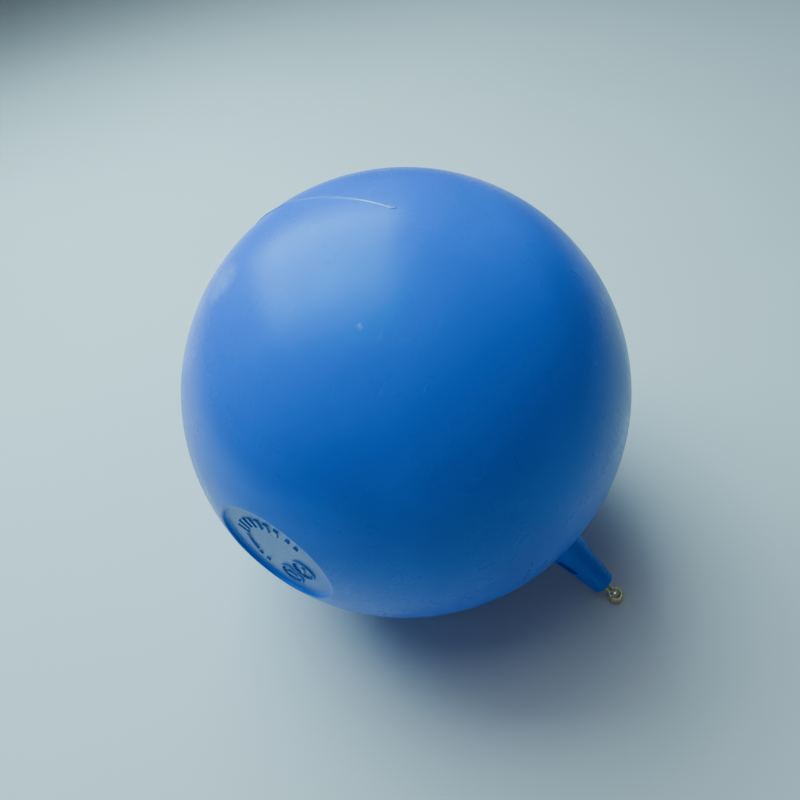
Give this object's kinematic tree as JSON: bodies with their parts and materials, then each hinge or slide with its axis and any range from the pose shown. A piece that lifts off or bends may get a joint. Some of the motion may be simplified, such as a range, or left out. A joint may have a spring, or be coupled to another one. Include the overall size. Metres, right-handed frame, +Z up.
{
  "type": "float ball",
  "caption": "Hollow blue plastic float ball with a tapered neck, a brass ball-ended stud and a recessed round foot, for the arm of a tank float valve.",
  "frame": {"origin": "the lowest point of the shell, directly under the centre of the ball, on the surface that the float lies on", "axes": "+Z up as the float lies at rest on its shell and on the stud's ball; +X along the long side, the way the neck and stud point while they lean down; -Y out of the round foot; the mould's parting plane is XZ"},
  "size_m": [0.2685, 0.2451, 0.2507],
  "materials": {
    "float_plastic": "glossy blow-moulded polyethylene",
    "insert_brass": "machined",
    "stud_brass": "polished, aged"
  },
  "bodies": {
    "float": {"float_shell": "float_plastic", "threaded_insert": "insert_brass"},
    "stud": {"ball_stud": "stud_brass"}
  },
  "joints": [
    {"name": "stud_unscrew", "type": "slide", "parent": "float", "child": "stud", "axis": [0.7541, 0, -0.6568], "range_m": [0, 0.015]}
  ]
}
